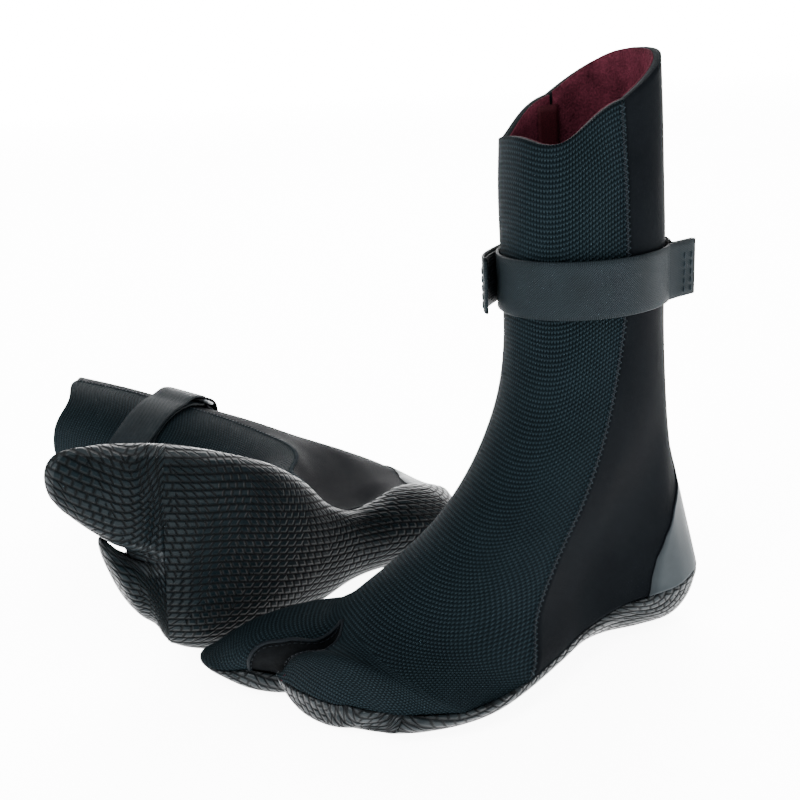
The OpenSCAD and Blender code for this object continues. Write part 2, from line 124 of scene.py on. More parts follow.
# Angles at which the linings and footbed end, and rows that they leave free at their ends
LINING_EDGE, LINING_END = 86, 0.35
REAR_LINING_EDGE, REAR_LINING_END = 88, 0.3
BED_EDGE, BED_START, BED_END = 58, 1.8, 0.5
# Rubber rand: how far it stands out, width of its paler rim, share of that at the toes' tips,
# and the height and width of its rounded edge
RAND, RIM_WIDTH, RIM_AT_TIP, RIM_EDGE, RIM_ROUND = 1.2, 9.5, 0.6, 0.3, 3.5
SOLE_FLAT = -0.9                                # the tread's lowest height
HEEL_INSIDE = np.array([60, 0, 60])             # a point in the heel, to tell out from in
WEB_CELLS = (12, 4)                             # of the slot's root, along and across
# Gusset: depth under the knit, angle that it laps under it, and row where the slot's lines start
GUSSET_DEPTH, GUSSET_LAP, SLOT_START = 0.3, 4, 0.02
# Shaft seams: angle, distance between stitches, and half widths of the zigzag and the tape
SEAM_AT, SEAM_STITCH, SEAM_HALF, TAPE_HALF = 89, 1.5, 1.4, 6
# Radii of the slot's rolled edge, its stitches, the zigzag, the cord under it, the patch's edge
# and the strap's stitches
ROLL_R, STITCH_R, ZIGZAG_R, CORD_R, PATCH_EDGE_R, SEWING_R = 1.0, 0.28, 0.3, 0.55, 0.6, 0.32

# Strap: an ellipse round the shaft, seen from above, with places on it in degrees round its
# middle and the webbing's thickness WEB_T
STRAP_Z, STRAP_W, WEB_T, SELVEDGE = 212, 29, 1.6, 0.45
STRAP_C, STRAP_R = np.array([74.0, 2]), np.array([44.3, 38])
FOLD_R, RING_AT, RING_REACH, RING_WIRE, RING_CORNER = 2.0, -107, 9, 2.2, 1.6
BAR_OFF = WEB_T + FOLD_R
RING_SPAN = 57.3 * RING_REACH / (STRAP_R[0] + BAR_OFF)     # 57.3 degrees in a radian
# Free end: where it comes down from the fold and where it lifts off, each with its run
TAIL_DROP, TAIL_RISE, TAIL_END, TAIL_LIFT = (-78, 18), (-56, 52), -4, 7
HOOKS_AT, TAIL_STITCHES_AT = (-34, -9), (-14, -9)
# Fin, where the band and the anchor are sewn together, and the turn from it into the loop
FIN = [(21, 21.5), (27, 22.9)]
FIN_TURN, FIN_R, FIN_ANGLES, FIN_STITCHES = (33.8, 22.2), 2.2, (103, -34), (3, 8)
BAND_START, ANCHOR_START, ANCHOR_END = 140, 156, 200
ANCHOR_RISE, ANCHOR_STITCHES_AT = (220, 16), (206, 216)


# Surfaces, the same as in the CAD source ------------------------------------------------------

def smooth(t):
    t = np.clip(t, 0, 1)
    return t * t * (3 - 2 * t)


def on(table, u):
    """Point at u on the smooth curve through the rows of a table."""
    n = len(table) - 1
    i = min(int(max(u, 0)), n - 1)
    t = u - i
    p1, p2 = table[i], table[i + 1]
    p0 = table[i - 1] if i > 0 else 2 * p1 - p2
    p3 = table[i + 2] if i + 2 <= n else 2 * p2 - p1
    return 0.5 * (2 * p1 + (p2 - p0) * t + (2 * p0 - 5 * p1 + 4 * p2 - p3) * t * t
                  + (3 * p1 - p0 - 3 * p2 + p3) * t ** 3)


def arch(a, c, b, power, angle):
    """Arch from a over the crown c to b, as the angle goes from -90 to 90."""
    middle, end = (a + b) / 2, a if angle < 0 else b
    turn = math.radians(angle)
    return (middle + (c - middle) * abs(math.cos(turn)) ** (2 / power)
            + (end - middle) * abs(math.sin(turn)) ** (2 / power))


def top_power(u):
    """The shaft is squarer at the cuff."""
    return ROUND + CUFF_SQUARE * (1 - smooth(u / 2.5))


def front_at(u, angle):
    crown, outer, inner = on(INSTEP, u)
    turn = math.radians(2 * angle)
    share = math.sin(turn) ** 2 + (CROWN_DIP * math.cos(turn) ** 2 if abs(angle) < 45 else 0)
    dip = CUFF_DIP * (1 - smooth(u)) * share
    return arch(outer, crown, inner, top_power(u), angle) - np.array([0, 0, dip])


def rear_at(u, angle):
    _, outer, inner = on(INSTEP, u)
    _, last_outer, last_inner = INSTEP[HEEL_ROW]
    plain_last = arch(last_outer, BACK[HEEL_ROW], last_inner, ROUND, angle)
    edge = on(HEEL_EDGE, (angle / 180 + 0.5) * (len(HEEL_EDGE) - 1))
    return (arch(outer, on(BACK, u), inner, top_power(u), angle)
            + smooth((u - HEEL_BLEND) / (HEEL_ROW - HEEL_BLEND)) * (edge - plain_last))


def box_at(root, rows, side, power, u, angle):
    """A toe box, growing out of one half of the row at the slot's root."""
    whole = arch(root[1], root[0], root[2], power, side * (angle - 90) / 2)
    crown = arch(root[1], root[0], root[2], power, -45 * side)
    foot = root[1] if side > 0 else root[2]
    a, c, b = on(np.concatenate([[[foot, crown, root[0]]], rows]), u)
    return (arch(a, c, b, TOE_ROUND, angle) + (1 - smooth(u / SLOT_RUN))
            * (whole - arch(foot, crown, root[0], TOE_ROUND, angle)))


def small_toes_at(u, angle):
    return box_at(INSTEP[ROWS], SMALL_TOES, 1, ROUND, u, angle)


def big_toe_at(u, angle):
    return box_at(INSTEP[ROWS], BIG_TOE, -1, ROUND, u, angle)


# The toe boxes' surfaces, and the side of each that is out
TOE_BOXES = ((small_toes_at, -1), (big_toe_at, 1))


def sole_power(v):
    """The sole is flatter under the forefoot."""
    return ROUND + smooth((v - 4) / 5)


def sole_at(v, angle):
    crown, outer, inner = on(SOLE, v)
    return arch(outer, crown, inner, sole_power(v), angle)


def sole_small_at(u, angle):
    return box_at(SOLE[SOLE_ROWS], SOLE_SMALL, 1, sole_power(SOLE_ROWS), u, angle)


def sole_big_at(u, angle):
    return box_at(SOLE[SOLE_ROWS], SOLE_BIG, -1, sole_power(SOLE_ROWS), u, angle)


def slot_edge(u):
    """Angle at which the knit of a toe box ends beside the slot."""
    return 90 - (SLOT_WALL * smooth(u / SLOT_OPEN)
                 * (1 - smooth((u - SLOT_TIP[0]) / SLOT_TIP[1])))


def unit(v):
    length = np.linalg.norm(v, axis=-1, keepdims=True)
    return v / np.where(length > 0, length, 1)


def run_along(path):
    """Distance of each point of a path from its first point."""
    return np.concatenate([[0], np.cumsum(np.linalg.norm(np.diff(path, axis=0), axis=1))])


# Placing --------------------------------------------------------------------------------------

def bend(points, flex):
    """The lying boot's ankle bend, from none below the ankle to the whole angle above it."""
    points = np.asarray(points, float)
    turn = np.radians(flex) * smooth((points[..., 2] - ANKLE_LOW) / ANKLE_SPAN)
    d = points - ANKLE
    return ANKLE + np.stack([d[..., 0] * np.cos(turn) + d[..., 2] * np.sin(turn), d[..., 1],
                             d[..., 2] * np.cos(turn) - d[..., 0] * np.sin(turn)], -1)


def turned(angles):
    return np.array(Euler([math.radians(a) for a in angles]).to_matrix())


SIDEWAYS = np.array([[-1.0, 0, 0], [0, 0, 1], [0, -1, 0]])
BOOTS = {
    "left": {"at": np.array(LEFT_AT), "turn": turned((0, 0, 180 + LEFT_YAW)), "flex": 0},
    "right": {"at": np.array(RIGHT_AT), "turn": turned(RIGHT_TURN) @ SIDEWAYS,
              "flex": RIGHT_FLEX}}


def place(points, side):
    boot = BOOTS[side]
    return (boot["at"] + bend(points, boot["flex"]) @ boot["turn"].T) * MM


# Meshes ---------------------------------------------------------------------------------------

def steps(a, b, n):
    return [a + (b - a) * i / n for i in range(n + 1)]


class Patch:
    """A grid of points on a surface. Out is 1 or -1, the side of the rows' normals."""

    def __init__(self, points, out, start=0.0):
        self.points, self.out, self.rim = np.asarray(points, float), out, None
        along, across = self.spacing()
        s = np.vstack([np.zeros(along.shape[1]), np.cumsum(along, 0)]) + start
        t = np.hstack([np.zeros((across.shape[0], 1)), np.cumsum(across, 1)])
        self.uv = np.stack([t - t[:, [t.shape[1] // 2]], s], -1)

    def spacing(self):
        """Distances to the next row and, within the rows, to the next point."""
        return [np.linalg.norm(np.diff(self.points, axis=axis), axis=2) for axis in (0, 1)]

    def normals(self):
        du, dv = np.gradient(self.points, axis=0), np.gradient(self.points, axis=1)
        return self.out * unit(np.cross(du, dv))

    def moved(self, height):
        """Height is a number, or one for each point of the grid."""
        height = np.broadcast_to(height, self.points.shape[:2])[..., None]
        self.points = self.points + self.normals() * height
        return self

    def faces(self, base):
        n, m = self.points.shape[:2]
        quads = []
        for i in range(n - 1):
            for j in range(m - 1):
                a = base + i * m + j
                quad = (a, a + m, a + m + 1, a + 1)
                quads.append(quad if self.out > 0 else quad[::-1])
        return quads


def patch(at, us, angles, out, start=0.0):
    return Patch([[at(u, a) for a in angles] for u in us], out, start)


def new_mesh(name, side, points, faces, uvs=None):
    """A mesh from boot points, with the UV map in units of 100 mm."""
    mesh = bpy.data.meshes.new(f"{side}_{name}")
    mesh.from_pydata(place(points, side).tolist(), [], faces)
    if uvs is not None:
        layer = mesh.uv_layers.new(name="UVMap")
        corners = np.empty(len(mesh.loops), int)
        mesh.loops.foreach_get("vertex_index", corners)
        layer.data.foreach_set("uv", np.array(uvs)[corners].ravel() / UV_UNIT)
    return mesh


def edit_mesh(mesh, edit):
    bm = bmesh.new()
    bm.from_mesh(mesh)
    edit(bm)
    bm.to_mesh(mesh)
    bm.free()


def weld(bm):
    bmesh.ops.remove_doubles(bm, verts=bm.verts, dist=WELD * MM)


def face_outwards(bm):
    bmesh.ops.recalc_face_normals(bm, faces=bm.faces)


def new_object(name, mesh, materials, side, body):
    obj = bpy.data.objects.new(f"{side}_{name}", mesh)
    bpy.context.scene.collection.objects.link(obj)
    for material in materials:
        mesh.materials.append(material)
    mesh.polygons.foreach_set("use_smooth", [True] * len(mesh.polygons))
    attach(obj, f"{side}_{body}")
    return obj


def skin(name, patches, materials, side, thickness, rim=None):
    """A sheet over patches that share edges, thickened inwards."""
    points = np.concatenate([p.points.reshape(-1, 3) for p in patches])
    uvs = np.concatenate([p.uv.reshape(-1, 2) for p in patches])
    faces, base = [], 0
    for p in patches:
        faces += p.faces(base)
        base += p.points.shape[0] * p.points.shape[1]
    if side == "right":
        faces = [f[::-1] for f in faces]
    mesh = new_mesh(name, side, points, faces, uvs)
    if any(p.rim is not None for p in patches):
        mesh.polygons.foreach_set("material_index", np.concatenate(
            [p.rim.ravel().astype(int) for p in patches]))
    edit_mesh(mesh, weld)
    obj = new_object(name, mesh, materials, side, "boot")
    solid = obj.modifiers.new("thickness", "SOLIDIFY")
    solid.thickness, solid.offset = thickness * MM, -1
    if rim is not None:
        solid.material_offset_rim = rim
    with bpy.context.temp_override(object=obj, active_object=obj, selected_objects=[obj]):
        bpy.ops.object.modifier_apply(modifier=solid.name)
    return obj


def tube_parts(path, radius, sides, base):
    """Points and faces of a round tube along a path, with closed ends."""
    path = np.asarray(path, float)
    tangents = unit(np.gradient(path, axis=0))
    ref = unit(np.cross(tangents[0], [0.3, 0.2, 1.0]))  # a direction no path starts along
    points, faces = [], []
    for p, t in zip(path, tangents):
        ref = unit(ref - t * np.dot(ref, t))
        other = np.cross(t, ref)
        for k in range(sides):
            a = 2 * math.pi * k / sides
            points.append(p + radius * (math.cos(a) * ref + math.sin(a) * other))
    for i in range(len(path) - 1):
        for k in range(sides):
            a, b = base + i * sides + k, base + i * sides + (k + 1) % sides
            faces.append((a, b, b + sides, a + sides))
    last = base + (len(path) - 1) * sides
    faces.append(tuple(base + k for k in reversed(range(sides))))
    faces.append(tuple(last + k for k in range(sides)))
    return points, faces


def tubes(name, paths, radius, material, side, body="boot", sides=6):
    """Round threads or wires along paths of boot points, as one piece."""
    points, faces = [], []
    for path in paths:
        more, new = tube_parts(path, radius, sides, len(points))
        points += more
        faces += new
    mesh = new_mesh(name, side, points, faces)
    edit_mesh(mesh, face_outwards)
    obj = new_object(name, mesh, [material], side, body)
    return obj


def line_on(at, out, us, angles, height, across=None):
    """Points over a line on a surface, moved across it by a distance for each point."""
    points = []
    across = across if across is not None else [0] * len(us)
    for u, a, shift in zip(us, angles, across):
        p = at(u, a)
        du = unit(at(u + 0.02, a) - at(u - 0.02, a))
        n = out * unit(np.cross(du, at(u, a + 1) - p))
        points.append(p + n * height + unit(np.cross(n, du)) * shift)
    return np.array(points)


# Materials ------------------------------------------------------------------------------------

# Knitted loops and tread scales: widths and heights, how far they slant, and a zone's length
KNIT_W, KNIT_PITCH, KNIT_SLOPE = 1.6, 2.4, 2.2
SCALE_W, SCALE_H, SCALE_SLANT, ZONE = 4.2, 5.4, 0.55, 23.0


class Shader:
    """A Principled material whose colour, roughness and bump come from nodes."""

    def __init__(self, name, rough=0.6, sheen=0.0, tint=(1, 1, 1), metallic=0.0,
                 specular=0.5):
        self.material = bpy.data.materials.new(name)
        self.material.use_nodes = True
        self.tree = self.material.node_tree
        self.bsdf = self.tree.nodes["Principled BSDF"]
        values = {"Roughness": rough, "Sheen Weight": sheen, "Sheen Tint": (*tint, 1),
                  "Sheen Roughness": 0.4, "Metallic": metallic, "Specular IOR Level": specular}
        for key, value in values.items():
            self.bsdf.inputs[key].default_value = value
        self.uv = self.add("ShaderNodeUVMap").outputs[0]
        self.object = self.add("ShaderNodeTexCoord").outputs["Object"]

    def add(self, kind, *inputs, **settings):
        node = self.tree.nodes.new(kind)
        for key, value in settings.items():
            setattr(node, key, value)
        for socket, value in zip(node.inputs, inputs):
            self.put(socket, value)
        return node

    def put(self, socket, value):
        if isinstance(value, bpy.types.NodeSocket):
            self.tree.links.new(value, socket)
        elif value is not None:
            socket.default_value = value

    def maths(self, operation, *values):
        return self.add("ShaderNodeMath", *values, operation=operation).outputs[0]

    def noise(self, scale, detail=3.0, rough=0.5):
        node = self.add("ShaderNodeTexNoise")
        for key, value in (("Vector", self.object), ("Scale", scale), ("Detail", detail),
                           ("Roughness", rough)):
            self.put(node.inputs[key], value)
        return node.outputs[0]

    def cells(self, scale):
        """Distance from the middle of the nearest cell."""
        node = self.add("ShaderNodeTexVoronoi", feature="F1")
        for key, value in (("Vector", self.object), ("Scale", scale)):
            self.put(node.inputs[key], value)
        return node.outputs[0]

    def ramp(self, factor, *stops):
        node = self.add("ShaderNodeValToRGB", factor)
        elements = node.color_ramp.elements
        while len(elements) < len(stops):
            elements.new(0.5)
        for element, (position, colour) in zip(elements, stops):
            element.position, element.color = position, (*colour, 1)
        return node.outputs[0]

    def span(self, value, low, high, to_low=0.0, to_high=1.0):
        return self.add("ShaderNodeMapRange", value, low, high, to_low, to_high).outputs[0]

    def mix(self, factor, a, b):
        node = self.add("ShaderNodeMix", data_type="RGBA")
        for index, value in ((0, factor), (6, a), (7, b)):
            self.put(node.inputs[index],
                     (*value, 1) if isinstance(value, tuple) and len(value) == 3 else value)
        return node.outputs[2]

    def finish(self, colour, height=None, distance=None, strength=None, rough=None):
        """Bump of a height in metres of distance. Rough, if given, varies over the surface."""
        self.put(self.bsdf.inputs["Base Color"], colour)
        if rough is not None:
            self.put(self.bsdf.inputs["Roughness"], rough)
        if height is not None:
            bump = self.add("ShaderNodeBump")
            for key, value in (("Height", height), ("Distance", distance),
                               ("Strength", strength)):
                self.put(bump.inputs[key], value)
            self.put(self.bsdf.inputs["Normal"], bump.outputs[0])
        return self.material


def millimetres(s):
    """The UV map's coordinates in mm, across and along the piece."""
    x, y, _ = s.add("ShaderNodeSeparateXYZ", s.uv).outputs
    return s.maths("MULTIPLY", x, UV_UNIT), s.maths("MULTIPLY", y, UV_UNIT)


def wave(s, value, pitch):
    """0 to 1 and back over each pitch."""
    turn = s.maths("MULTIPLY", value, 2 * math.pi / pitch)
    return s.maths("MULTIPLY_ADD", s.maths("COSINE", turn), 0.5, 0.5)


def from_middle(s, cells):
    """Distance from the middle of the cell, 0 to 0.5, where each whole number is one cell."""
    return s.maths("ABSOLUTE", s.maths("SUBTRACT", s.maths("FRACT", cells), 0.5))


def knit_material():
    """Knitted face: columns of V shaped loops, with painted shade darkening the grooves between
    them.
    """
    s = Shader("knit", rough=0.75, specular=0.012)
    x, y = millimetres(s)
    aside = from_middle(s, s.maths("DIVIDE", x, KNIT_W))
    loops = wave(s, s.maths("ADD", y, s.maths("MULTIPLY", aside, KNIT_SLOPE)), KNIT_PITCH)
    groove = s.span(aside, 0.36, 0.5, 1.0, 0.0)
    height = s.maths("MULTIPLY", s.maths("MULTIPLY_ADD", loops, 0.7, 0.3), groove)
    patches = s.noise(40.0, 2.0)
    # Colour: random lighter and darker patches, plus painted shade, darker where the knit lies
    # low, in the loops' dips and the grooves between columns
    patches_and_groove_shade = s.maths("MULTIPLY_ADD", patches, 0.25, s.maths("MULTIPLY", height, 0.9))
    colour = s.ramp(patches_and_groove_shade, (0.12, (0.0001, 0.0003, 0.0004)), (0.5, (0.0007, 0.0018, 0.0024)),
                    (1.0, (0.0043, 0.0076, 0.0094)))
    return s.finish(colour, height, 0.0007, 1.0)


def jersey_material():
    """Smooth stretch face with very fine ribs."""
    s = Shader("jersey", rough=0.6, specular=0.004)
    x, y = millimetres(s)
    ribs = s.maths("MULTIPLY", wave(s, x, 0.55), wave(s, y, 0.8))
    patches = s.noise(28.0, 4.0)
    colour = s.ramp(s.maths("MULTIPLY_ADD", ribs, 0.15, patches),
                    (0.3, (0.0008, 0.0011, 0.0015)), (0.8, (0.0020, 0.0025, 0.0030)))
    height = s.maths("MULTIPLY_ADD", s.noise(120.0, 3.0), 1.5, ribs)
    return s.finish(colour, height, 0.0001, 0.7, s.span(patches, 0.3, 0.7, 0.55, 0.7))


def plush_material():
    """Short burgundy pile, brushed into lighter and darker patches."""
    s = Shader("plush", rough=0.95, sheen=0.02, tint=(0.9, 0.15, 0.25), specular=0.01)
    pile = s.noise(900.0, 2.0)
    waves = s.noise(90.0, 4.0, 0.6)
    colour = s.ramp(s.maths("MULTIPLY_ADD", waves, 0.6, s.maths("MULTIPLY", pile, 0.4)),
                    (0.32, (0.006, 0.0014, 0.0023)), (0.68, (0.036, 0.0074, 0.0122)))
    return s.finish(colour, s.maths("ADD", pile, waves), 0.0008, 0.9)


def foam_material():
    """Cut edge of the neoprene: dark grey foam with small cells."""
    s = Shader("foam edge", rough=0.9, specular=0.02)
    cells = s.cells(1800.0)
    colour = s.ramp(cells, (0.0, (0.001, 0.0012, 0.0014)), (0.8, (0.006, 0.007, 0.008)))
    return s.finish(colour, cells, 0.0002, 0.7)


def scales(s):
    """Staggered, slanted scales, whose slant changes side from zone to zone."""
    x, y = millimetres(s)
    bands = s.maths("FLOOR", s.maths("DIVIDE", s.maths("MULTIPLY_ADD", x, 0.45, y), ZONE))
    flip = s.maths("MULTIPLY_ADD", s.maths("MODULO", s.maths("ABSOLUTE", bands), 2.0), 2.0, -1.0)
    column = s.maths("DIVIDE", x, SCALE_W)
    odd = s.maths("MODULO", s.maths("ABSOLUTE", s.maths("FLOOR", column)), 2.0)
    slanted = s.maths("MULTIPLY_ADD", s.maths("MULTIPLY", x, flip), SCALE_SLANT, y)
    row = s.maths("MULTIPLY_ADD", odd, 0.5, s.maths("DIVIDE", slanted, SCALE_H))
    return s.maths("MULTIPLY", s.span(from_middle(s, column), 0.5, 0.22),
                   s.span(from_middle(s, row), 0.5, 0.28))


def tread_material(name, groove, dark, light, specular):
    """Rubber with raised scales, and painted shade: the groove colour darkens the gaps between
    the scales.
    """
    s = Shader(name, rough=0.34, specular=specular)
    raised = scales(s)
    grain = s.noise(1400.0, 3.0)
    dust = s.noise(60.0, 4.0)
    # Painted shade: the gaps between the scales take the darker groove colour, and the scale
    # tops take the dusty rubber colour
    colour = s.mix(raised, groove, s.ramp(dust, (0.3, dark), (0.7, light)))
    height = s.maths("MULTIPLY_ADD", grain, 0.06, raised)
    return s.finish(colour, height, 0.0009, 1.0, s.span(raised, 0.0, 1.0, 0.7, 0.34))


def patch_material():
    """Smooth grey rubber with a fine grain and a little dust."""
    s = Shader("patch rubber", rough=0.35, specular=0.04)
    grain = s.noise(1500.0, 3.0)
    dust = s.noise(45.0, 5.0)
    colour = s.ramp(dust, (0.3, (0.0065, 0.0087, 0.0102)), (0.7, (0.0135, 0.0167, 0.0185)))
    return s.finish(colour, grain, 0.00012, 0.6, s.span(dust, 0.3, 0.7, 0.36, 0.5))


def webbing_material():
    """Twill webbing: fine diagonal ribs, with a plain selvedge."""
    s = Shader("webbing", rough=0.6, specular=0.03)
    x, y = millimetres(s)
    twill = wave(s, s.maths("ADD", x, y), 1.25)
    yarns = wave(s, x, 0.6)
    edge = s.span(s.maths("ABSOLUTE", x), STRAP_W / 2 - 2.2, STRAP_W / 2 - 1.6)
    height = s.mix(edge, s.maths("MULTIPLY_ADD", yarns, 0.3, twill), wave(s, y, 0.9))
    shade = s.noise(55.0, 3.0)
    colour = s.ramp(s.maths("MULTIPLY_ADD", height, 0.5, s.maths("MULTIPLY", shade, 0.45)),
                    (0.1, (0.0006, 0.0011, 0.0014)), (0.9, (0.0046, 0.0072, 0.0088)))
    return s.finish(colour, height, 0.0003, 0.8)


def loop_tape_material():
    """Fuzzy side of the touch fastener."""
    s = Shader("loop tape", rough=0.95, specular=0.02)
    fuzz = s.noise(1300.0, 4.0, 0.7)
    tufts = s.cells(700.0)
    colour = s.ramp(fuzz, (0.35, (0.0008, 0.0011, 0.0014)), (0.7, (0.006, 0.0072, 0.0088)))
    return s.finish(colour, s.maths("ADD", fuzz, tufts), 0.0006, 0.9)


def hook_material():
    """Rows of hooks."""
    s = Shader("hooks", rough=0.5, specular=0.04)
    x, y = millimetres(s)
    hooks = s.maths("MULTIPLY", wave(s, x, 1.4), wave(s, y, 1.4))
    colour = s.ramp(hooks, (0.2, (0.001, 0.0013, 0.0017)), (0.9, (0.008, 0.0095, 0.0115)))
    return s.finish(colour, hooks, 0.0006, 1.0)


def thread_material(name, colour):
    """Twisted thread, from fine noise round a plain colour."""
    s = Shader(name, rough=0.6, specular=0.03)
    strands = s.noise(2200.0, 2.0)
    dark = tuple(c * 0.45 for c in colour)
    return s.finish(s.ramp(strands, (0.35, dark), (0.6, colour)), strands, 0.0002, 0.6)


def gusset_material():
    """Dark ribbed stretch lining of the toe slot's walls."""
    s = Shader("gusset", rough=0.7, specular=0.01)
    x, y = millimetres(s)
    ribs = wave(s, s.maths("ADD", x, y), 0.9)
    grain = s.noise(300.0, 3.0)
    colour = s.ramp(s.maths("MULTIPLY_ADD", ribs, 0.3, grain),
                    (0.3, (0.0004, 0.0005, 0.0006)), (0.9, (0.0014, 0.0017, 0.002)))
    return s.finish(colour, ribs, 0.00015, 0.6)


def ring_material():
    """Dark enamel on steel wire."""
    s = Shader("ring enamel", rough=0.35, metallic=0.2, specular=0.2)
    wear = s.noise(400.0, 4.0)
    colour = s.ramp(wear, (0.35, (0.025, 0.028, 0.031)), (0.75, (0.06, 0.066, 0.071)))
    return s.finish(colour, wear, 0.00008, 0.5, s.span(wear, 0.3, 0.7, 0.28, 0.45))


KNIT, JERSEY, PLUSH, FOAM = knit_material(), jersey_material(), plush_material(), foam_material()
# The first colour of each rubber is painted shade in the gaps between its scales
TREAD = tread_material("scaled rubber", (0.0001, 0.0003, 0.0004), (0.0008, 0.0021, 0.0028),
                       (0.0020, 0.0037, 0.0046), 0.03)
RIM = tread_material("rim rubber", (0.0004, 0.0007, 0.0009), (0.003, 0.0045, 0.0053),
                     (0.0070, 0.0092, 0.0104), 0.06)
PATCH = patch_material()
WEBBING, LOOP_TAPE, HOOKS = webbing_material(), loop_tape_material(), hook_material()
GUSSET, ENAMEL = gusset_material(), ring_material()
THREAD = thread_material("thread", (0.008, 0.012, 0.015))
DARK_THREAD = thread_material("dark thread", (0.0015, 0.0025, 0.0035))
TAPE = thread_material("seam tape", (0.016, 0.0025, 0.004))


# Boot -----------------------------------------------------------------------------------------

def upper_patches(rows, half, edge, depth=0.0, tip=0.0):
    """Front of the upper and its two toe boxes, down to an edge angle at each u."""
    whole = patch(front_at, steps(0, ROWS, rows), steps(-90, 90, 2 * half), -1)
    start = whole.uv[-1, half, 1]
    boxes = [Patch([[at(u, s * (edge(u) + 90) - 90) for s in steps(0, 1, half)]
                    for u in steps(0, TOE_ROWS - tip, rows // 3)], out, start)
             for at, out in TOE_BOXES]
    return [p.moved(-depth) for p in (whole, *boxes)]


def make_uppers(side):
    front = skin("knit_front", upper_patches(120, 36, slot_edge), [KNIT, FOAM], side, NEOPRENE,
                 rim=1)
    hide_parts(f"{side}_front_panel")
    rear = skin("jersey_rear", [patch(rear_at, steps(0, HEEL_ROW, 96), steps(-90, 90, 72), 1)],
                [JERSEY, FOAM], side, NEOPRENE, rim=1)
    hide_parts(f"{side}_rear_panel")


def make_linings(side):
    depth = NEOPRENE + GAP
    front = skin("plush_front", upper_patches(48, 18, lambda u: LINING_EDGE, depth, LINING_END),
                 [PLUSH], side, LINING)
    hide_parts(f"{side}_front_lining")
    rear_patch = patch(rear_at, steps(0, HEEL_ROW - REAR_LINING_END, 48),
                       steps(-REAR_LINING_EDGE, REAR_LINING_EDGE, 36), 1)
    rear = skin("plush_rear", [rear_patch.moved(-depth)], [PLUSH], side, LINING)
    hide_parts(f"{side}_rear_lining")
    foot = patch(sole_at, steps(BED_START, SOLE_ROWS - BED_END, 40),
                 steps(-BED_EDGE, BED_EDGE, 24), 1)
    bed = skin("plush_footbed", [foot.moved(RAND - SOLE_T - GAP)], [PLUSH], side, LINING)
    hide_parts(f"{side}_footbed")


def rim_cells(p, at_heel):
    """Marks a sole patch's cells that lie within the rim's width of its free edges."""
    depths, widths = p.spacing()
    depths, widths = depths[:, :-1], widths[:-1]
    from_first, from_last = np.cumsum(widths, 1), np.cumsum(widths[:, ::-1], 1)[:, ::-1]
    p.rim = (from_first < RIM_WIDTH) | (from_last < RIM_WIDTH)
    if at_heel:
        p.rim |= np.cumsum(depths, 0) < RIM_WIDTH
    else:
        p.rim |= np.cumsum(depths[::-1], 0)[::-1] < RIM_WIDTH * RIM_AT_TIP


def rim_height(p, at_heel):
    """How far the rubber stands out from the upper: thin at its edge, full a little below."""
    depths, widths = p.spacing()
    column = np.zeros((len(p.points), 1))
    row = np.zeros((1, p.points.shape[1]))
    near = np.minimum(np.hstack([column, np.cumsum(widths, 1)]),
                      np.hstack([np.cumsum(widths[:, ::-1], 1)[:, ::-1], column]))
    along = np.cumsum(depths, 0) if at_heel else np.cumsum(depths[::-1], 0)[::-1]
    near = np.minimum(near, np.vstack([row, along] if at_heel else [along, row]))
    return RIM_EDGE + (RAND - RIM_EDGE) * smooth(near / RIM_ROUND)


def web(small, big, out, start):
    """Closes the slot's root between the two toe boxes."""
    return Patch([[small(u, 90) + s * (big(u, 90) - small(u, 90))
                   for s in steps(0, 1, WEB_CELLS[1])]
                  for u in steps(0, 1, WEB_CELLS[0])], out, start)


def make_sole(side):
    half = 36
    whole = patch(sole_at, steps(0, SOLE_ROWS, 130), steps(-90, 90, 2 * half), 1)
    start = whole.uv[-1, half, 1]
    small = patch(sole_small_at, steps(0, TOE_ROWS, 30), steps(-90, 90, half), 1, start)
    big = patch(sole_big_at, steps(0, TOE_ROWS, 30), steps(-90, 90, half), -1, start)
    root = web(sole_small_at, sole_big_at, 1, start)
    root.rim = np.ones(WEB_CELLS, bool)
    root.moved(RAND / 2)
    for p in (whole, small, big):
        rim_cells(p, p is whole)
        p.moved(rim_height(p, p is whole))
    for p in (whole, small, big, root):
        p.points[..., 2] = np.maximum(p.points[..., 2], SOLE_FLAT)
    sole = skin("scaled_sole", [whole, small, big, root], [TREAD, RIM], side, SOLE_T)
    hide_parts(f"{side}_outsole")


def make_gusset(side):
    walls = [Patch([[at(u, a) for a in steps(slot_edge(u) - GUSSET_LAP, 90, 12)]
                    for u in steps(SLOT_START, sum(SLOT_TIP) - 0.05, 40)], out)
             for at, out in TOE_BOXES]
    root = web(small_toes_at, big_toe_at, -1, 0)
    for p in (*walls, root):
        p.moved(-GUSSET_DEPTH)
    gusset = skin("slot_gusset", [*walls, root], [GUSSET], side, NEOPRENE / 2)
    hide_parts(f"{side}_toe_gusset")


def slot_line(height, shift):
    """Line round the toe slot's mouth, from one toe box's tip over the root to the other's."""
    us = [SLOT_START + u for u in steps(0, sum(SLOT_TIP), 60)]
    lines = [line_on(at, out, us, [slot_edge(u) - 2 for u in us], height,
                     [shift * smooth(u / 0.25) for u in us])
             for at, out in TOE_BOXES]
    return np.concatenate([lines[0][::-1], lines[1][1:]])


def dashes(line, length, gap):
    """Short stitches along a line, each a little path of its own."""
    run = run_along(line)
    starts = np.arange(0.5, run[-1] - length, length + gap)
    return [np.array([[np.interp(d + length * f, run, line[:, k]) for k in range(3)]
                      for f in (0, 0.33, 0.67, 1)]) for d in starts]


def make_slot_edge(side):
    roll = tubes("slot_roll", [slot_line(0.1, 0)], ROLL_R, DARK_THREAD, side,
                 sides=10)
    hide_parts(f"{side}_slot_seam")
    tubes("slot_stitches", dashes(slot_line(0.25, 2.4), 2.2, 1.3), STITCH_R, DARK_THREAD, side)


def seam_line(sign, height, shift=0.0, count=160, low=0.02, high=HEEL_ROW - 0.06):
    """Line down the seam between the panels, on the outer side for sign 1."""
    us = steps(low, high, count)
    return line_on(front_at, -1, us, [-SEAM_AT * sign] * len(us), height, [shift] * len(us))


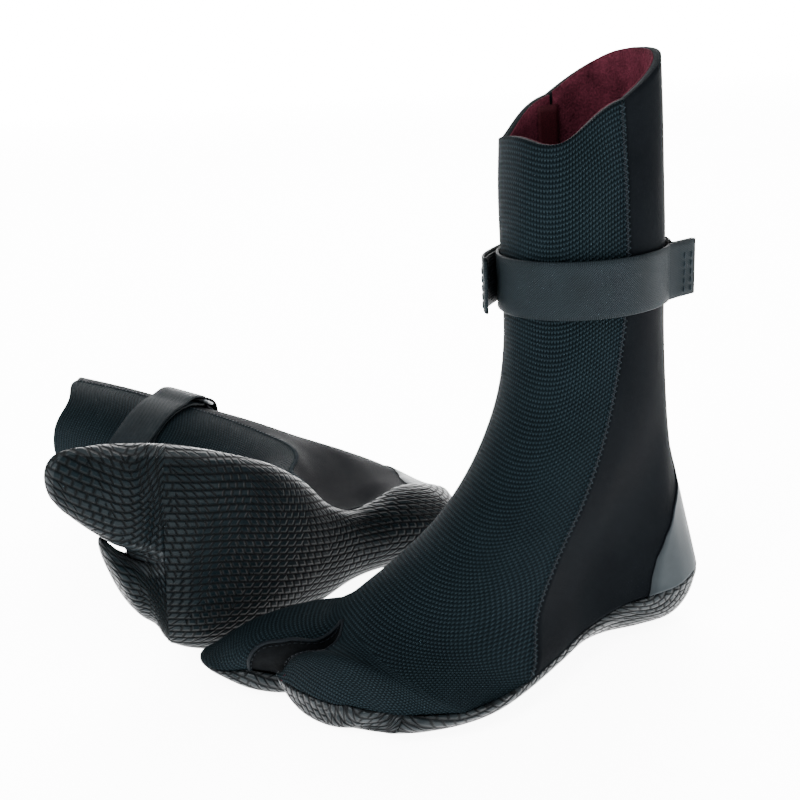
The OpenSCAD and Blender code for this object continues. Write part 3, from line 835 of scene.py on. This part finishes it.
def make_shaft_seams(side):
    for name, sign in (("lateral", 1), ("medial", -1)):
        middle, beside = seam_line(sign, 0.35, count=800), seam_line(sign, 0.35, 1.0, 800)
        across = unit(beside - middle)
        run = run_along(middle)
        zigzag = []
        for k, d in enumerate(np.arange(1, run[-1] - 1, SEAM_STITCH)):
            i = int(np.searchsorted(run, d))
            zigzag.append(middle[i] + across[i] * SEAM_HALF * (1 if k % 2 else -1))
        thread = tubes(f"{name}_zigzag", [np.array(zigzag)], ZIGZAG_R, THREAD, side)
        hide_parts(f"{side}_{name}_seam")
        tubes(f"{name}_groove", [seam_line(sign, -0.1)], CORD_R, DARK_THREAD, side)
        depth = NEOPRENE + LINING + 1
        tape = Patch([seam_line(sign, -depth, x, 80, 0.1, HEEL_ROW - 0.5)
                      for x in steps(-TAPE_HALF, TAPE_HALF, 6)], sign)
        inner = skin(f"{name}_tape", [tape], [TAPE], side, TAPE_T)
        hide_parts(f"{side}_{name}_seam_tape")


def make_heel_patch(side):
    us = steps(PATCH_ROWS[0], HEEL_ROW, 60)
    half = [float(np.interp(u, PATCH_ROWS, PATCH_HALF)) for u in us]
    grid = Patch([[rear_at(u, s * h) for s in steps(-1, 1, 30)] for u, h in zip(us, half)], 1)
    grid.moved(PATCH_T)
    piece = skin("heel_patch_rubber", [grid], [PATCH], side, PATCH_T)
    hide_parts(f"{side}_heel_patch")
    rows = list(zip(us, half))
    edge = [(u, -h) for u, h in rows[::-1]] + [(u, h) for u, h in rows]
    line = np.array([rear_at(u, a) + 0.5 * unit(rear_at(u, a) - HEEL_INSIDE) for u, a in edge])
    tubes("heel_patch_edge", [line], PATCH_EDGE_R, DARK_THREAD, side)


# Strap ----------------------------------------------------------------------------------------

def heading(t):
    return np.array([math.cos(math.radians(t)), math.sin(math.radians(t))])


def loop_at(t, off):
    """Point of the strap's loop at an angle, so far outside it."""
    return STRAP_C + (STRAP_R + off) * heading(t)


def out_of(t):
    """Direction out of the loop at an angle."""
    return unit(STRAP_R[::-1] * heading(t))


def turn_round(centre, r, a, b):
    return [np.asarray(centre) + r * heading(t) for t in steps(a, b, 20)]


def angles(a, b):
    """Angles from a to b, about 2 degrees apart."""
    return steps(a, b, round(abs(b - a) / 2))


def tail_off(t):
    """How far outside the loop the free end runs: over the fold, down, then lifting off."""
    above_band = 0.6
    return (WEB_T + above_band
            + (2 * FOLD_R - above_band) * smooth((TAIL_DROP[0] - t) / TAIL_DROP[1])
            + TAIL_LIFT * smooth((t - TAIL_RISE[0]) / TAIL_RISE[1]) ** 2)


def anchor_off(t):
    """The same for the anchor's upper layer: it comes off the fold and lies on the lower one."""
    return DOUBLE + (2 * FOLD_R - GAP) * smooth((t - ANCHOR_RISE[0]) / ANCHOR_RISE[1])


DOUBLE = 2 * WEB_T + GAP                        # two layers of webbing
INNER_AT = RING_AT - RING_SPAN
OUTER_BAR, INNER_BAR = loop_at(RING_AT, BAR_OFF), loop_at(INNER_AT, BAR_OFF)
OUTER_TURN, INNER_ATURN = (math.degrees(math.atan2(out_of(t)[1], out_of(t)[0]))
                          for t in (RING_AT, INNER_AT))
FIN_START = [np.array(p, float) for p in FIN]
FIN_CURVE = turn_round(FIN_TURN, FIN_R, *FIN_ANGLES)
BAND_PATH = (FIN_START + [FIN_CURVE[0]]
             + [loop_at(t, 0) for t in angles(BAND_START, RING_AT + 3)]
             + turn_round(OUTER_BAR, BAR_OFF, OUTER_TURN - 180, OUTER_TURN))
ANCHOR_PATH = (FIN_START + FIN_CURVE
               + [loop_at(t, 0) for t in angles(ANCHOR_START, 360 + INNER_AT - 3)]
               + turn_round(INNER_BAR, BAR_OFF, INNER_ATURN + 180, INNER_ATURN)
               + [loop_at(t, anchor_off(t)) for t in angles(360 + INNER_AT - 4, ANCHOR_END)])
TAIL_PATH = [loop_at(t, tail_off(t)) for t in angles(RING_AT + 0.2, TAIL_END)]


def ribbon(name, path, near, far, material, side, node, body="boot", height=STRAP_W):
    """Webbing on edge along a path seen from above, between two distances to its left."""
    path = np.asarray(path, float)
    tangents = unit(np.gradient(path, axis=0))
    left = np.stack([-tangents[:, 1], tangents[:, 0]], 1)
    h, r = height / 2, SELVEDGE
    middle, half = (near + far) / 2, (far - near) / 2
    section = ([(half, z) for z in steps(-h + r, h - r, 8)] + [(half - r, h), (r - half, h)]
               + [(-half, z) for z in steps(h - r, r - h, 8)] + [(r - half, -h), (half - r, -h)])
    points, uvs, m = [], [], len(section)
    for p, n, d in zip(path, left, run_along(path)):
        for off, z in section:
            xy = p + n * (middle + off)
            points.append((xy[0], xy[1], STRAP_Z + z))
            uvs.append((z, d))
    last = (len(path) - 1) * m
    faces = [(i * m + k, i * m + (k + 1) % m, (i + 1) * m + (k + 1) % m, (i + 1) * m + k)
             for i in range(len(path) - 1) for k in range(m)]
    faces += [tuple(range(m))[::-1], tuple(range(last, last + m))]
    mesh = new_mesh(name, side, points, faces, uvs)
    edit_mesh(mesh, face_outwards)
    obj = new_object(name, mesh, [material], side, body)
    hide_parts(f"{side}_{node}")


def stitch_column(xy, n):
    """Vertical stitches that dip into the webbing at both ends."""
    height, pitch, length = STRAP_W - 4, 4.4, 3.2
    rise = [(0, -0.25), (0.25, 0.3), (0.75, 0.3), (1, -0.25)]
    return [np.array([(*(xy + n * out), STRAP_Z - height / 2 + k * pitch + f * length)
                      for f, out in rise])
            for k in range(int(height // pitch))]


def make_strap(side):
    ribbon("band_webbing", BAND_PATH, 0.05, WEB_T, WEBBING, side, "strap_band")
    ribbon("anchor_tape", ANCHOR_PATH, -WEB_T, -0.05, LOOP_TAPE, side, "strap_anchor")
    ribbon("tail_webbing", TAIL_PATH, -WEB_T, 0, WEBBING, side, "strap_tail", "tail")
    hook = [loop_at(t, tail_off(t)) for t in angles(*HOOKS_AT)]
    ribbon("tail_hooks", hook, 0.1, 1, HOOKS, side, "strap_hook_patch", "tail", STRAP_W - 3)
    x = loop_at(180, 0)[0] + 0.15
    ribbon("back_tack", [(x, -2.0), (x, 2.0), (x, 6.0)], -2.4, 0, WEBBING, side, "strap_tack",
           height=STRAP_W / 1.5)
    d = unit(FIN_START[1] - FIN_START[0])
    n = np.array([-d[1], d[0]])
    columns = [stitch_column(FIN_START[0] + d * along + n * WEB_T, n)
               for along in FIN_STITCHES]
    columns += [stitch_column(loop_at(t, DOUBLE), out_of(t)) for t in ANCHOR_STITCHES_AT]
    sewn = tubes("strap_stitches", sum(columns, []), SEWING_R, THREAD, side)
    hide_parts(f"{side}_strap_stitching")
    columns = [stitch_column(loop_at(t, tail_off(t) + WEB_T), out_of(t))
               for t in TAIL_STITCHES_AT]
    sewn = tubes("tail_stitches", sum(columns, []), SEWING_R, THREAD, side,
                 body="tail")
    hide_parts(f"{side}_tail_stitching")


def make_ring(side):
    """A rectangle of wire with round corners, upright between the strap's two folds."""
    half, r = STRAP_W / 2 + 1 + RING_WIRE / 2, RING_CORNER
    reach = float(np.linalg.norm(INNER_BAR - OUTER_BAR))
    d = (INNER_BAR - OUTER_BAR) / reach
    corners = [(r, r, 180), (reach - r, r, 270), (reach - r, 2 * half - r, 0),
               (r, 2 * half - r, 90)]
    flat = [np.array([cx, cy]) + r * heading(t)
            for cx, cy, start in corners for t in steps(start, start + 90, 8)]
    path = [(*(OUTER_BAR + d * x), STRAP_Z - half + y) for x, y in flat]
    ring = tubes("wire_ring", [np.array(path + path[:2])], RING_WIRE / 2, ENAMEL, side,
                 body="ring", sides=14)
    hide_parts(f"{side}_strap_ring")


# Room, lights and camera -----------------------------------------------------------------------

def make_stage():
    """A glowing floor, and a wall of the same behind."""
    s = Shader("floor", rough=0.6)
    s.bsdf.inputs["Emission Color"].default_value = (1, 1, 1, 1)
    s.bsdf.inputs["Emission Strength"].default_value = STAGE_GLOW
    s.finish(s.ramp(s.noise(3.0), (0.3, (0.93, 0.93, 0.93)), (0.7, (0.95, 0.95, 0.95))))
    for name, at, turn in (("floor", (0, 0, 0), 0), ("backdrop", (0, WALL_AT, 0), math.pi / 2)):
        bpy.ops.mesh.primitive_plane_add(size=STAGE_SIZE, location=at, rotation=(turn, 0, 0))
        plane = bpy.context.object
        plane.name = name
        plane.data.materials.append(s.material)


def make_light(name, at, size, power):
    """A square lamp that looks at the boots, with its place and size in metres."""
    data = bpy.data.lights.new(name, "AREA")
    data.size, data.energy = size, power
    light = bpy.data.objects.new(name, data)
    light.location = at
    light.rotation_euler = (Vector(LOOK_AT) - Vector(at)).to_track_quat("-Z", "Y").to_euler()
    bpy.context.scene.collection.objects.link(light)


def make_world():
    """Soft light from all round, and plain white where the picture looks past the stage."""
    world = bpy.data.worlds.new("studio")
    world.use_nodes = True
    nodes, links = world.node_tree.nodes, world.node_tree.links
    path, strength = nodes.new("ShaderNodeLightPath"), nodes.new("ShaderNodeMapRange")
    strength.inputs["To Min"].default_value = SOFT_LIGHT
    strength.inputs["To Max"].default_value = STAGE_GLOW + SOFT_LIGHT
    links.new(path.outputs["Is Camera Ray"], strength.inputs["Value"])
    links.new(strength.outputs[0], nodes["Background"].inputs[1])
    nodes["Background"].inputs[0].default_value = (1, 1, 1, 1)
    bpy.context.scene.world = world


def make_camera():
    data = bpy.data.cameras.new("camera")
    data.sensor_width, data.lens = 36, CAMERA_LENS
    data.clip_start = 0.01
    camera = bpy.data.objects.new("camera", data)
    right, up = Vector(CAMERA_RIGHT), Vector(CAMERA_UP)
    turn = Matrix((right, up, right.cross(up))).transposed()
    camera.matrix_world = Matrix.Translation(Vector(CAMERA_AT) * MM) @ turn.to_4x4()
    bpy.context.scene.collection.objects.link(camera)
    bpy.context.scene.camera = camera


for boot_side in BOOTS:
    make_uppers(boot_side)
    make_linings(boot_side)
    make_sole(boot_side)
    make_gusset(boot_side)
    make_slot_edge(boot_side)
    make_shaft_seams(boot_side)
    make_heel_patch(boot_side)
    make_strap(boot_side)
    make_ring(boot_side)

make_stage()
make_world()
make_light("key", (-0.9, -1.1, 1.6), 0.9, 90)
make_light("fill", (1.3, -0.8, 1.1), 1.2, 30)
make_light("back", (0.2, 1.4, 1.5), 1.2, 40)
make_camera()
